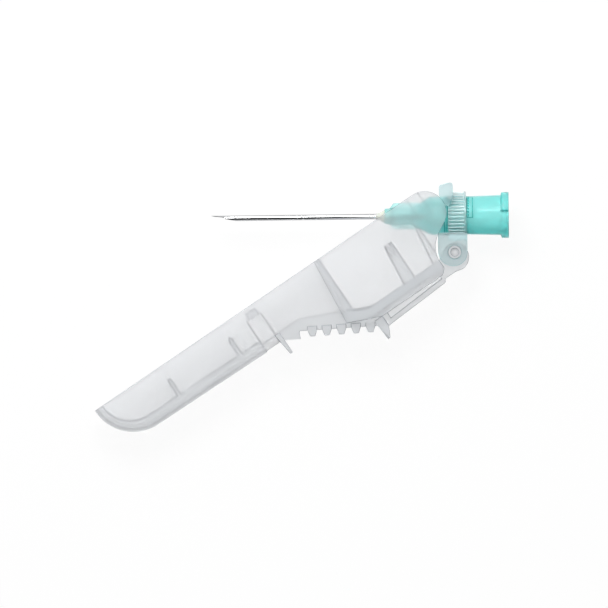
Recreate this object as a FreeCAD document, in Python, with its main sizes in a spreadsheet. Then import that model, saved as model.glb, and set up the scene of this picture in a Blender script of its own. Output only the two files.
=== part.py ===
import FreeCAD, Part
import math
import os
import re

import Sketcher

# Safety hypodermic needle, 21 gauge by 25 mm, lying on the flat side of its sheath.
#
# The frame: the origin is the centre of the luer socket's mouth, +X leaves the socket
# along the needle's axis, +Y is the side away from the hinge, and +Z is up, out of the
# surface that the part lies on. The cannula points along -X. All sizes are in mm.
#
# The sheath is drawn in its own frame: its X runs from the hinge pin to the closed prow,
# its Y from the finger pad to the open edge, and its Z across the two side walls.

doc = FreeCAD.newDocument("SafetyNeedle")
sheet = doc.addObject("Spreadsheet::Sheet", "Sizes")

SIZES = {
    # Cannula and adhesive.
    "cannula_radius": 0.41,  # outer radius of a 21 gauge tube
    "cannula_bore": 0.255,  # inner radius of the tube
    "cannula_reach": 26.6,  # from the hub's nose to the point
    "cannula_seat": 6.2,  # length held inside the hub
    "bevel_length": 4.0,  # length of the ground point
    "lancet_length": 2.3,  # length of the two side grinds
    "lancet_heel": 0.05,  # start of the side grinds under the axis
    "lancet_turn": 32,  # turn of each side grind about the axis, degrees
    "glue_gap": 0.02,  # radial gap round the glued tube
    "bead_length": 1.35,  # adhesive cone in front of the nose
    "bead_radius": 1.0,  # adhesive cone at the nose
    "well_radius": 0.85,  # glue well in the nose
    "well_depth": 1.4,  # depth of the glue well
    # Hub.
    "hub_length": 18.77,  # from the socket's mouth to the nose
    "nose_radius": 1.18,  # nose and core between the fins
    "fin_count": 4,  # fins round the nose
    "fin_radius": 1.95,  # outer radius of the fins
    "fin_thickness": 0.55,  # thickness of a fin
    "fin_start": 0.75,  # nose face to the start of the fins
    "fin_slope": 0.6,  # length of the sloped fin end
    "fin_length": 3.9,  # length of the fins with their slope
    "cone_length": 2.2,  # cone from the core to the seat
    "seat_radius": 2.88,  # cylinder that carries the collar
    "bead_ring_height": 0.16,  # snap bead in front of the collar
    "bead_ring_length": 0.5,  # length of the snap bead
    "barrel_radius": 3.02,  # socket barrel at its rim
    "rim_radius": 3.35,  # rim round the socket's mouth
    "rim_length": 0.55,  # length of the plain rim
    "lug_count": 2,  # lugs, and stop pads
    "lug_radius": 3.9,  # half the width across the two lugs
    "lug_length": 1.2,  # length of a lug along the axis
    "lug_angle": 52,  # arc of a lug, degrees
    "lug_turn": 53,  # turn of the lugs about the axis, degrees
    "lug_chamfer": 0.35,  # front chamfer of a lug
    "stop_height": 0.22,  # stop pads behind the collar
    "stop_length": 0.9,  # length of a stop pad
    "stop_angle": 72,  # arc of a stop pad, degrees
    "stop_turn": 60,  # turn of the stop pads, degrees
    "notch_depth": 0.3,  # notches in the pad's front edge
    "notch_width": 0.26,  # width of a notch
    "notch_count": 40,  # notches in a full turn
    "socket_mouth": 2.15,  # radius of the 6 percent luer cone at its mouth
    "socket_taper": 0.03,  # loss of radius per mm of depth
    "socket_depth": 7.5,  # depth of the luer cone
    "cavity_radius": 1.35,  # cavity ahead of the luer cone
    "cavity_end": 11.4,  # depth of the cavity from the mouth
    "funnel_length": 0.9,  # funnel from the cavity to the cannula
    # Collar.
    "collar_gap": 0.06,  # running gap round the seat
    "collar_play": 0.08,  # end play of the collar
    "collar_back": 6.44,  # socket's mouth to the collar's back face
    "collar_length": 2.73,  # length of the ring
    "collar_radius": 3.61,  # outer radius over the ribs
    "collar_rim": 0.38,  # plain rim at the back of the ribs
    "rib_count": 40,  # ribs round the ring
    "rib_depth": 0.2,  # depth of the grooves between ribs
    "rib_gap": 0.26,  # width of a groove
    "pivot_back": 8.24,  # socket's mouth to the hinge pin
    "pivot_drop": 5.55,  # hub axis down to the hinge pin
    "ear_inner": 1.72,  # middle plane to an ear's inner face
    "ear_outer": 2.5,  # middle plane to an ear's outer face
    "ear_front": 2.5,  # hinge pin to an ear's front edge
    "ear_back": 1.92,  # hinge pin to an ear's back edge
    "ear_round": 2.1,  # radius under the hinge pin
    "ear_root": 1.03,  # how far the ears reach into the ring
    "slot_roof": 1.86,  # hinge pin up to the roof between the ears
    "bow_gap": 0.12,  # room over the snap bead
    "tab_inner": 2.6,  # middle plane to a latch tab's inner face
    "tab_outer": 3.64,  # middle plane to a latch tab's outer face
    "tab_top": 5.0,  # hub axis up to a tab's top
    "tab_neck": 3.1,  # hub axis up to where a tab is full wide
    "tab_root": 1.45,  # hub axis up to a tab's root
    "tab_front": 10.5,  # socket's mouth to a tab's front edge
    "tab_back": 8.45,  # socket's mouth to a tab's back edge
    "tab_root_front": 9.45,  # socket's mouth to the root's front corner
    "tab_root_back": 8.95,  # socket's mouth to the root's back corner
    "tab_round": 0.45,  # radius of a tab's top corners
    "tab_lean": 0.3,  # fall of a tab's top towards the front
    # Hinge.
    "rest_angle": 33.5,  # sheath below the cannula as it lies, degrees
    "pin_radius": 1.0,  # hinge pin
    "pin_gap": 0.05,  # running gap round the pin
    "pin_dimple": 0.62,  # radius of the dimple in the pin's end
    "dimple_depth": 0.22,  # depth of the dimple
    "knuckle_half": 1.6,  # half the thickness of the knuckle and keel
    "knuckle_radius": 2.16,  # back curve of the knuckle
    "knuckle_ahead": 0.42,  # knuckle curve's centre ahead of the pin
    "knuckle_below": 0.62,  # knuckle curve's centre below the pin
    # Sheath.
    "wall": 0.8,  # wall of the moulding
    "wide_half": 3.8,  # middle plane to a side wall at the hub
    "narrow_half": 1.6,  # middle plane to a side wall of the channel
    "open_edge": 10.79,  # hinge pin to the open edge
    "edge_start": 0.45,  # start of the open edge
    "lobe_radius": 3.32,  # round lobe over the collar
    "lobe_end": 53,  # end of its curve past the level, degrees
    "flank_along": 0.12,  # foot of the lobe ahead of the hinge pin
    "flank_up": 3.9,  # foot of the lobe over the hinge pin
    "ear_clear": 2.66,  # cut-out round an ear, from the hinge pin
    "clear_curve": 4.5,  # curve of the cut-out over the ear
    "skirt_drop": 1.85,  # hinge pin down to the skirts' lower edge
    "skirt_corner": 0.74,  # sloped corner of a skirt
    "floor_top": 0.3,  # floor of the trough over the hinge pin
    "floor_wall": 1.25,  # thickness of the floor
    "shoulder": 17.65,  # inner face of the shoulder
    "shoulder_lean": 1.1,  # lean of the shoulder's outer face
    "ramp_start": 15.0,  # foot of the floor's ramp
    "ramp_end": 25.3,  # top of the floor's ramp
    "ramp_rise": 4.9,  # height of the ramp's top over the hinge pin
    "window_start": 29.5,  # hinge pin to the moulding window
    "window_end": 32.0,  # far end of the moulding window
    "channel_back": 3.45,  # back of the channel at the window
    "channel_fall": 0.25,  # fall of the back from window to prow
    "prow_centre": 51.75,  # hinge pin to the prow curve's centre
    "prow_lip": 0.23,  # straight rise of the prow under the open edge
    "corner_round": 1.4,  # outer rounding along the channel's back
    "slot_half": 0.6,  # half the cannula's slot between the thick lower walls
    "slot_back": 0.6,  # wall behind the slot
    "slot_depth": 2.0,  # height of the thick lower walls, from the channel's back
    "prow_band": 1.4,  # thick wall at the open end of the prow
    "core_step": 0.15,  # step that the mould's core leaves between window and tongues
    "shoulder_round": 0.7,  # rounding of the shoulder's corners
    "tongue_start": 29.85,  # lock tongues' near end
    "tongue_length": 1.65,  # lock tongue along the channel
    "tongue_top": 10.0,  # hinge pin to the tongues' upper face
    "tongue_height": 1.0,  # depth of a tongue
    "tongue_throat": 0.94,  # gap between the two tongues
    "rib_near": 35.3,  # first pair of inner ribs
    "rib_far": 46.4,  # second pair of inner ribs
    "rib_length": 0.55,  # rib along the channel
    "rib_low": 5.3,  # hinge pin to the ribs' lower end
    "rib_high": 8.4,  # hinge pin to the ribs' upper end
    "rib_throat": 1.2,  # gap between a pair of ribs
    # Posts, pad and keel.
    "post_near": 2.42,  # near post's straight side
    "post_near_top": 0.4,  # width of the near post's top
    "post_near_foot": 1.3,  # width of the near post's foot
    "post_near_clear": 2.98,  # middle plane to the near post
    "post_far": 7.12,  # far post's straight side
    "post_far_top": 1.25,  # width of the far post's top
    "post_far_foot": 1.95,  # width of the far post's foot
    "post_far_clear": 2.15,  # middle plane to the far post
    "post_top": 6.65,  # hinge pin to the posts' tops
    "post_cell": 1.7,  # depth of the hollow cell in the far post's top
    "cell_margin": 0.3,  # edge left round the cell
    "latch_start": 0.38,  # latch pocket behind the hinge pin
    "latch_end": 1.6,  # latch pocket ahead of the hinge pin
    "latch_low": 7.1,  # hinge pin to the latch pocket's lower end
    "latch_depth": 0.32,  # depth of the latch pocket
    "pad_half": 3.0,  # half the width of the finger pad
    "pad_start": 15.95,  # near end of the pad's base
    "pad_low": 2.61,  # near end of the base under the hinge pin
    "pad_length": 11.84,  # length of the base's slope
    "pad_slope": 30.2,  # slope of the base, degrees
    "tooth_count": 5,  # teeth of the pad
    "tooth_first": 1.05,  # base's near end to the first tooth
    "tooth_pitch": 2.21,  # distance between teeth
    "tooth_root": 1.44,  # tooth at its root
    "tooth_tip": 0.76,  # tooth at its tip
    "tooth_height": 0.92,  # height of a tooth
    "pad_margin": 0.6,  # skin left round a recess in the pad's side
    "step_length": 0.5,  # rise behind the last tooth
    "step_depth": 1.1,  # depth of the step behind the last tooth
    "fin_far_start": 28.8,  # far fin's near face
    "fin_far_root": 0.85,  # far fin at its root
    "fin_far_tip": 0.45,  # far fin at its tip
    "fin_far_low": 1.29,  # far fin's tip over the hinge pin
    "fin_near_drop": 5.2,  # near fin's tip under the hinge pin
    "fin_near_tip": 0.42,  # near fin at its tip
    "fin_near_root": 1.45,  # near fin at its root
    "spine_near": 3.03,  # spine under the hinge pin, near end
    "spine_far": 3.6,  # spine under the hinge pin, far end
    "spine_start": 3.45,  # hinge pin to the spine's lip
    "lip_height": 0.5,  # height of the lip
    "recess_depth": 0.75,  # recess in each side of the keel
    "recess_start": 3.9,  # near end of the recess
    "recess_end": 13.6,  # far end of the recess
    "overshoot": 2.0,  # how far a cut runs past what it opens
}
for row, (alias, number) in enumerate(SIZES.items(), 1):
    sheet.set("A%d" % row, alias)
    sheet.set("B%d" % row, str(number))
    sheet.setAlias("B%d" % row, alias)
doc.recompute()

SAME = 0.01  # two coordinates closer than this are one
SHORT_EDGE = 1.0  # edges shorter than this stay sharp


def body_named(label):
    """Start a sub-part whose label is also its file's name."""
    body = doc.addObject("PartDesign::Body", label)
    body.Label = label
    return body


def origin_feature(body, role):
    """The body's own origin plane or axis with this role."""
    return [f for f in body.Origin.OriginFeatures if f.Role == role][0]


def bound(expression):
    """An expression on the sheet's names, in the form that a property takes."""
    def full(name):
        return name.group() if name.group() in ("cos", "sin", "sqrt") else "Sizes." + name.group()
    return re.sub(r"[a-z]\w*", full, expression)


def amount(expression):
    """The number that an expression on the sheet's names gives."""
    result = sheet.evalExpression(expression)
    return float(getattr(result, "Value", result))


def new_sketch(body, name, turn=None, lift=None, slope=None):
    """A sketch on the body's middle plane. It can be turned about X, lifted off the plane,
    or moved in the plane to a slope given as (x, y, angle)."""
    sketch = body.newObject("Sketcher::SketchObject", name)
    sketch.AttachmentSupport = [(origin_feature(body, "XY_Plane"), "")]
    sketch.MapMode = "FlatFace"
    if turn:
        sketch.AttachmentOffset = FreeCAD.Placement(FreeCAD.Vector(),
                                                    FreeCAD.Rotation(FreeCAD.Vector(1, 0, 0), 1))
        sketch.setExpression("AttachmentOffset.Rotation.Angle", bound(turn))
    if lift:
        sketch.setExpression("AttachmentOffset.Base.z", bound(lift))
    if slope:
        sketch.AttachmentOffset = FreeCAD.Placement(FreeCAD.Vector(),
                                                    FreeCAD.Rotation(FreeCAD.Vector(0, 0, 1), 1))
        sketch.setExpression("AttachmentOffset.Base.x", bound(slope[0]))
        sketch.setExpression("AttachmentOffset.Base.y", bound(slope[1]))
        sketch.setExpression("AttachmentOffset.Rotation.Angle", bound(slope[2]))
    return sketch


def pin_point(sketch, geometry, end, x, y):
    """Hold one end of a line or arc at a place given by two expressions."""
    for kind, expression in (("DistanceX", x), ("DistanceY", y)):
        number = amount(expression)
        index = sketch.addConstraint(Sketcher.Constraint(kind, geometry, end, number))
        sketch.setExpression("Constraints[%d]" % index, bound(expression))


def draw_outline(sketch, corners):
    """Close a ring of corners. A corner is (x, y) or (x, y, radius, side): with a radius,
    the edge to the next corner is an arc that bulges to the left or right of the way."""
    spots = [FreeCAD.Vector(amount(c[0]), amount(c[1]), 0) for c in corners]
    ends = []
    for i, corner in enumerate(corners):
        here, there = spots[i], spots[(i + 1) % len(spots)]
        if len(corner) == 2:
            geometry = sketch.addGeometry(Part.LineSegment(here, there))
            ends.append((geometry, 1, 2))
            continue
        radius = amount(corner[2])
        way = there - here
        middle = (here + there) * 0.5
        left = FreeCAD.Vector(-way.y, way.x, 0).normalize()
        depth = math.sqrt(radius ** 2 - (way.Length / 2) ** 2)
        bulge = 1 if corner[3] == "left" else -1
        centre = middle - left * (depth * bulge)
        start = math.atan2(here.y - centre.y, here.x - centre.x)
        stop = math.atan2(there.y - centre.y, there.x - centre.x)
        if bulge > 0:
            start, stop = stop, start
        circle = Part.Circle(centre, FreeCAD.Vector(0, 0, 1), radius)
        geometry = sketch.addGeometry(Part.ArcOfCircle(circle, start, stop))
        index = sketch.addConstraint(Sketcher.Constraint("Radius", geometry, radius))
        sketch.setExpression("Constraints[%d]" % index, bound(corner[2]))
        ends.append((geometry, 2, 1) if bulge > 0 else (geometry, 1, 2))
    for i, corner in enumerate(corners):
        geometry, begin, _ = ends[i]
        last, _, finish = ends[i - 1]
        sketch.addConstraint(Sketcher.Constraint("Coincident", last, finish, geometry, begin))
        pin_point(sketch, geometry, begin, corner[0], corner[1])


def draw_circle(sketch, x, y, radius):
    """A circle whose centre and radius are expressions."""
    centre = FreeCAD.Vector(amount(x), amount(y), 0)
    circle = Part.Circle(centre, FreeCAD.Vector(0, 0, 1), amount(radius))
    geometry = sketch.addGeometry(circle)
    index = sketch.addConstraint(Sketcher.Constraint("Radius", geometry, amount(radius)))
    sketch.setExpression("Constraints[%d]" % index, bound(radius))
    pin_point(sketch, geometry, 3, x, y)


def extrude(body, kind, name, sketch, length, symmetric=True, reverse=False):
    """Pad or pocket a sketch; a symmetric one takes the whole width as its length."""
    feature = body.newObject("PartDesign::" + kind, name)
    feature.Profile = sketch
    feature.SideType = "Symmetric" if symmetric else "One side"
    feature.Reversed = reverse
    feature.setExpression("Length", bound(length))
    doc.recompute()
    return feature


def turned(body, kind, name, sketch, angle=None):
    """Revolve or groove a sketch about the body's X axis, all round or over an arc."""
    feature = body.newObject("PartDesign::" + kind, name)
    feature.Profile = sketch
    feature.ReferenceAxis = (origin_feature(body, "X_Axis"), [""])
    feature.Angle = 360
    if angle:
        feature.Midplane = True
        feature.setExpression("Angle", bound(angle))
    doc.recompute()
    return feature


def around(body, name, original, count):
    """Repeat a feature evenly about the body's X axis."""
    pattern = body.newObject("PartDesign::PolarPattern", name)
    pattern.Originals = [original]
    pattern.Axis = (origin_feature(body, "X_Axis"), [""])
    pattern.Angle = 360
    pattern.setExpression("Occurrences", bound(count))
    body.Tip = pattern
    doc.recompute()
    return pattern


def fillet(body, name, radius, chosen):
    """Round every edge of the body that the test picks."""
    base = body.Tip
    edges = ["Edge%d" % (i + 1) for i, edge in enumerate(base.Shape.Edges) if chosen(edge)]
    rounding = body.newObject("PartDesign::Fillet", name)
    rounding.Base = (base, edges)
    rounding.setExpression("Radius", bound(radius))
    body.Tip = rounding
    doc.recompute()
    return rounding


def box_corners(x_low, y_low, x_high, y_high):
    """The four corners of an upright rectangle."""
    return [(x_low, y_low), (x_high, y_low), (x_high, y_high), (x_low, y_high)]


# Cannula: a drawn steel tube with a three-facet point, its tip on the side away from the
# hinge and its bevel facing the sheath.

def make_cannula():
    body = body_named("cannula")
    tip = "- hub_length - cannula_reach"
    rear = "- hub_length + cannula_seat"
    tube = new_sketch(body, "tube_section")
    draw_outline(tube, box_corners(tip, "cannula_bore", rear, "cannula_radius"))
    turned(body, "Revolution", "tube", tube)
    bevel = new_sketch(body, "bevel_side")
    draw_outline(bevel, [
        (tip, "cannula_radius"),
        (tip, "- cannula_radius - overshoot"),
        (tip + " + bevel_length", "- cannula_radius - overshoot"),
        (tip + " + bevel_length", "- cannula_radius"),
    ])
    extrude(body, "Pocket", "bevel", bevel, "4 * cannula_radius")
    for name, turn in (("lancet_left", "lancet_turn"), ("lancet_right", "- lancet_turn")):
        lancet = new_sketch(body, name + "_side", turn=turn)
        draw_outline(lancet, [
            (tip, "cannula_radius - glue_gap"),
            (tip, "- cannula_radius - overshoot"),
            (tip + " + lancet_length", "- cannula_radius - overshoot"),
            (tip + " + lancet_length", "- lancet_heel"),
        ])
        extrude(body, "Pocket", name, lancet, "4 * cannula_radius")
    return body


# Adhesive: it fills the well in the hub's nose and stands out as a low cone.

def make_adhesive():
    body = body_named("adhesive_bead")
    section = new_sketch(body, "bead_section")
    inner = "cannula_radius + glue_gap / 2"
    draw_outline(section, [
        ("- hub_length - bead_length", inner),
        ("- hub_length - bead_length", inner + " + glue_gap"),
        ("- hub_length", "bead_radius"),
        ("- hub_length", "well_radius - glue_gap / 2"),
        ("- hub_length + well_depth", "well_radius - glue_gap / 2"),
        ("- hub_length + well_depth", inner),
    ])
    turned(body, "Revolution", "bead", section)
    return body


# Hub: one moulding with the luer socket, two lugs for a locking collar, the seat that the
# hinge collar turns on, and the finned nose that holds the cannula.

def make_hub():
    body = body_named("hub")
    fins_end = "- hub_length + fin_start + fin_length"
    seat_start = fins_end + " + cone_length"
    ring_front = "- collar_back - collar_length - collar_play"
    pads_front = "- collar_back + collar_play"
    barrel = new_sketch(body, "barrel_section")
    draw_outline(barrel, [
        ("- hub_length", "0"),
        ("- hub_length", "nose_radius"),
        (fins_end + " - fin_slope", "nose_radius"),
        (seat_start, "seat_radius"),
        (ring_front + " - bead_ring_length", "seat_radius"),
        (ring_front + " - bead_ring_length / 2", "seat_radius + bead_ring_height"),
        (ring_front, "seat_radius + bead_ring_height"),
        (ring_front, "seat_radius"),
        (pads_front, "seat_radius"),
        ("- lug_length", "barrel_radius"),
        ("- rim_length", "rim_radius"),
        ("0", "rim_radius"),
        ("0", "0"),
    ])
    turned(body, "Revolution", "barrel", barrel)

    fin = new_sketch(body, "fin_side")
    draw_outline(fin, [
        ("- hub_length + fin_start", "0"),
        ("- hub_length + fin_start", "nose_radius"),
        ("- hub_length + fin_start + fin_slope", "fin_radius"),
        (fins_end + " + cone_length / 2", "fin_radius"),
        (fins_end + " + cone_length / 2", "0"),
    ])
    fin_pad = extrude(body, "Pad", "fin", fin, "fin_thickness")
    around(body, "fins", fin_pad, "fin_count")

    lug = new_sketch(body, "lug_section", turn="lug_turn")
    draw_outline(lug, [
        ("- lug_length", "barrel_radius - rim_length / 4"),
        ("- lug_length", "lug_radius - lug_chamfer"),
        ("- lug_length + lug_chamfer / 2", "lug_radius"),
        ("0", "lug_radius"),
        ("0", "barrel_radius - rim_length / 4"),
    ])
    lug_turned = turned(body, "Revolution", "lug", lug, "lug_angle")
    around(body, "lugs", lug_turned, "lug_count")

    pad = new_sketch(body, "stop_section", turn="stop_turn")
    draw_outline(pad, [
        (pads_front, "seat_radius - notch_depth"),
        (pads_front, "seat_radius + stop_height"),
        (pads_front + " + stop_length", "seat_radius + stop_height"),
        (pads_front + " + stop_length", "seat_radius - notch_depth"),
    ])
    pad_turned = turned(body, "Revolution", "stop_pad", pad, "stop_angle")
    around(body, "stop_pads", pad_turned, "lug_count")

    notch = new_sketch(body, "notch_side")
    draw_outline(notch, box_corners(
        pads_front + " - collar_play", "seat_radius + glue_gap",
        pads_front + " + notch_depth", "seat_radius + overshoot"))
    notch_cut = extrude(body, "Pocket", "notch", notch, "notch_width")
    around(body, "notches", notch_cut, "notch_count")

    bore = new_sketch(body, "bore_section")
    cannula_way = "cannula_radius + glue_gap"
    socket_end = "socket_mouth - socket_taper * socket_depth"
    draw_outline(bore, [
        ("0", "0"),
        ("0", "socket_mouth"),
        ("- socket_depth", socket_end),
        ("- socket_depth", "cavity_radius"),
        ("- cavity_end", "cavity_radius"),
        ("- cavity_end - funnel_length", cannula_way),
        ("- hub_length + well_depth", cannula_way),
        ("- hub_length + well_depth", "well_radius"),
        ("- hub_length", "well_radius"),
        ("- hub_length", "0"),
    ])
    turned(body, "Groove", "bore", bore)
    return body


# Collar: a ribbed ring that turns on the hub's seat, with two hinge ears below it and a
# latch tab on each side above it.

def make_collar():
    body = body_named("collar")
    back = "- collar_back"
    front = "- collar_back - collar_length"
    pivot_x = "- pivot_back"
    pivot_y = "- pivot_drop"
    ring = new_sketch(body, "ring_section")
    draw_outline(ring, box_corners(front, "0", back, "collar_radius"))
    turned(body, "Revolution", "ring", ring)

    groove = new_sketch(body, "groove_side")
    draw_outline(groove, box_corners(
        front + " - overshoot", "collar_radius - rib_depth",
        back + " - collar_rim", "collar_radius + overshoot"))
    groove_cut = extrude(body, "Pocket", "rib_groove", groove, "rib_gap")
    around(body, "ribs", groove_cut, "rib_count")

    ear = new_sketch(body, "ear_side")
    ear_top = "- collar_radius + ear_root"
    draw_outline(ear, [
        (pivot_x + " - ear_front", ear_top),
        (pivot_x + " - ear_front", pivot_y, "( ear_front + ear_round ) / 2", "right"),
        (pivot_x, pivot_y + " - ear_round", "ear_round", "right"),
        (pivot_x + " + ear_back", pivot_y),
        (pivot_x + " + ear_back", ear_top),
    ])
    extrude(body, "Pad", "ears", ear, "2 * ear_outer")

    slot = new_sketch(body, "slot_side")
    draw_outline(slot, box_corners(
        pivot_x + " - ear_front - overshoot", pivot_y + " - ear_round - overshoot",
        pivot_x + " + ear_back + overshoot", pivot_y + " + slot_roof"))
    extrude(body, "Pocket", "knuckle_slot", slot, "2 * ear_inner")
    mouth = new_sketch(body, "slot_mouth_side")
    draw_outline(mouth, box_corners(
        pivot_x + " - ear_front - overshoot", pivot_y + " - ear_round - overshoot",
        front, "0"))
    extrude(body, "Pocket", "slot_mouth", mouth, "2 * ear_inner")

    hole = new_sketch(body, "pin_hole_side")
    draw_circle(hole, pivot_x, pivot_y, "pin_radius + pin_gap")
    extrude(body, "Pocket", "pin_holes", hole, "2 * ear_outer + overshoot")

    tab = new_sketch(body, "tab_side", lift="tab_inner")
    draw_outline(tab, [
        ("- tab_root_front", "tab_root"),
        ("- tab_front", "tab_neck"),
        ("- tab_front", "tab_top - tab_lean - tab_round", "tab_round", "left"),
        ("- tab_front + tab_round", "tab_top - tab_lean"),
        ("- tab_back - tab_round", "tab_top", "tab_round", "left"),
        ("- tab_back", "tab_top - tab_round"),
        ("- tab_back", "tab_neck"),
        ("- tab_root_back", "tab_root"),
    ])
    tab_pad = extrude(body, "Pad", "latch_tab", tab, "tab_outer - tab_inner", symmetric=False)
    tabs = body.newObject("PartDesign::Mirrored", "latch_tabs")
    tabs.Originals = [tab_pad]
    tabs.MirrorPlane = (origin_feature(body, "XY_Plane"), [""])
    body.Tip = tabs
    doc.recompute()

    bore = new_sketch(body, "collar_bore_section")
    seat = "seat_radius + collar_gap"
    room = "seat_radius + bead_ring_height + bow_gap"
    draw_outline(bore, [
        (back + " + overshoot", "0"),
        (back + " + overshoot", room),
        (back, room),
        (back, seat),
        (front, seat),
        (front, room),
        ("- tab_front - overshoot", room),
        ("- tab_front - overshoot", "0"),
    ])
    turned(body, "Groove", "collar_bore", bore)
    return body


# Sheath: one translucent moulding. A wide trough with two side walls goes over the hub,
# a shoulder narrows it to a deep channel with a closed, rounded prow, and a keel carries
# the knuckle, the hinge pins and the finger pad.

def make_sheath():
    body = body_named("sheath")
    wide_outer = "wide_half + wall"
    narrow_outer = "narrow_half + wall"
    above = "open_edge + overshoot"
    back_far = "channel_back + channel_fall"
    prow_radius = "( open_edge - prow_lip - %s )" % back_far.replace(" + ", " - ")
    prow_middle = "open_edge - prow_lip"
    ramp_slope = "( ramp_rise - floor_top ) / ( ramp_end - ramp_start )"
    shoulder_floor = "floor_top + ( shoulder - ramp_start ) * " + ramp_slope
    channel_floor = shoulder_floor + " - wall * " + ramp_slope

    wide = new_sketch(body, "wide_side")
    lobe_middle = "open_edge - lobe_radius"
    draw_outline(wide, [
        ("edge_start", "open_edge", "lobe_radius", "right"),
        ("edge_start - lobe_radius", lobe_middle, "lobe_radius", "right"),
        ("edge_start - lobe_radius * cos(lobe_end)", lobe_middle + " - lobe_radius * sin(lobe_end)"),
        ("flank_along", "flank_up", "clear_curve", "left"),
        ("ear_clear", "floor_top"),
        ("ear_clear", "skirt_corner - skirt_drop"),
        ("ear_clear + skirt_corner", "- skirt_drop"),
        ("pad_start - fin_near_root", "- skirt_drop"),
        ("shoulder + wall + shoulder_lean", "floor_top"),
        ("shoulder + wall", "open_edge"),
    ])
    extrude(body, "Pad", "wide_shell", wide, "2 * ( %s )" % wide_outer)

    narrow = new_sketch(body, "narrow_side")
    draw_outline(narrow, [
        ("shoulder - wall", "open_edge"),
        ("shoulder - wall", "- wall"),
        ("ramp_end", "ramp_rise - 2 * wall"),
        ("fin_far_start", "channel_back"),
        ("window_end", "channel_back"),
        ("prow_centre", back_far, prow_radius, "right"),
        ("prow_centre + " + prow_radius, prow_middle),
        ("prow_centre + " + prow_radius, "open_edge"),
    ])
    extrude(body, "Pad", "narrow_shell", narrow, "2 * ( %s )" % narrow_outer)

    side = amount(narrow_outer)
    past_pad = amount("window_end")
    low_enough = amount(prow_middle)

    def along_back(edge):
        box = edge.BoundBox
        at_side = abs(abs(box.ZMax) - side) < SAME and abs(box.ZMax - box.ZMin) < SAME
        on_back = box.XMin > past_pad - SAME and box.YMin < low_enough - SAME
        return at_side and on_back and edge.Length > SHORT_EDGE

    fillet(body, "back_rounding", "corner_round", along_back)

    wide_side = amount(wide_outer)
    corner = amount("shoulder + wall") - SAME

    def at_shoulder(edge):
        box = edge.BoundBox
        at_side = abs(abs(box.ZMax) - wide_side) < SAME and abs(box.ZMax - box.ZMin) < SAME
        return at_side and box.XMin > corner and box.YMax > amount("open_edge") - SAME

    fillet(body, "shoulder_rounding", "shoulder_round", at_shoulder)

    trough = new_sketch(body, "trough_side")
    draw_outline(trough, [
        ("- lobe_radius - overshoot", above),
        ("- lobe_radius - overshoot", "floor_top"),
        ("post_near", "floor_top"),
        ("post_near", "post_top"),
        ("post_near + post_near_top", "post_top"),
        ("post_near + post_near_foot", "floor_top"),
        ("post_far", "floor_top"),
        ("post_far", "post_top"),
        ("post_far + post_far_top", "post_top"),
        ("post_far + post_far_foot", "floor_top"),
        ("ramp_start", "floor_top"),
        ("shoulder", shoulder_floor),
        ("shoulder", above),
    ])
    extrude(body, "Pocket", "trough", trough, "2 * wide_half")
    for name, reach, clear in (("far_post_gap", "shoulder", "post_far_clear"),
                               ("near_post_gap", "post_far", "post_near_clear")):
        gap = new_sketch(body, name + "_side")
        draw_outline(gap, box_corners("- lobe_radius - overshoot", "floor_top", reach, above))
        extrude(body, "Pocket", name, gap, "2 * " + clear)
    cell = new_sketch(body, "post_cell_side", lift="post_far_clear + cell_margin")
    draw_outline(cell, [
        ("post_far + cell_margin", "post_top + overshoot"),
        ("post_far + cell_margin", "post_top - post_cell"),
        ("post_far + post_far_top", "post_top - post_cell"),
        ("post_far + post_far_top - cell_margin", "post_top + overshoot"),
    ])
    cell_cut = extrude(body, "Pocket", "post_cell", cell, "wide_half - post_far_clear - cell_margin",
                       symmetric=False, reverse=True)
    mirrored(body, "post_cells", cell_cut)

    channel = new_sketch(body, "channel_side")
    draw_outline(channel, [
        ("shoulder - wall", above),
        ("shoulder - wall", channel_floor),
        ("ramp_end", "ramp_rise"),
        ("window_start", "ramp_rise"),
        ("window_start", "channel_back - overshoot"),
        ("window_end", "channel_back - overshoot"),
        ("window_end", "channel_back + slot_depth"),
        ("prow_centre + slot_depth - prow_band", back_far + " + slot_depth",
         prow_radius + " - slot_depth", "right"),
        ("prow_centre + " + prow_radius + " - prow_band", prow_middle),
        ("prow_centre + " + prow_radius + " - prow_band", above),
    ])
    extrude(body, "Pocket", "channel", channel, "2 * narrow_half")
    slot = new_sketch(body, "slot_side")
    draw_outline(slot, [
        ("window_start", above),
        ("window_start", "ramp_rise"),
        ("window_end", "channel_back + slot_back"),
        ("prow_centre", back_far + " + slot_back", prow_radius + " - slot_back", "right"),
        ("prow_centre + " + prow_radius + " - slot_back", prow_middle),
        ("prow_centre + " + prow_radius + " - slot_back", above),
    ])
    extrude(body, "Pocket", "cannula_slot", slot, "2 * slot_half")
    core = new_sketch(body, "core_side")
    draw_outline(core, box_corners(
        "window_start", "ramp_rise", "window_end", "tongue_top - tongue_height"))
    extrude(body, "Pocket", "core_steps", core, "2 * ( narrow_half + core_step )")

    under = new_sketch(body, "under_floor_side")
    draw_outline(under, box_corners(
        "- overshoot", "- skirt_drop - overshoot",
        "shoulder - wall", "floor_top - floor_wall"))
    extrude(body, "Pocket", "under_floor", under, "2 * wide_half")

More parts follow.
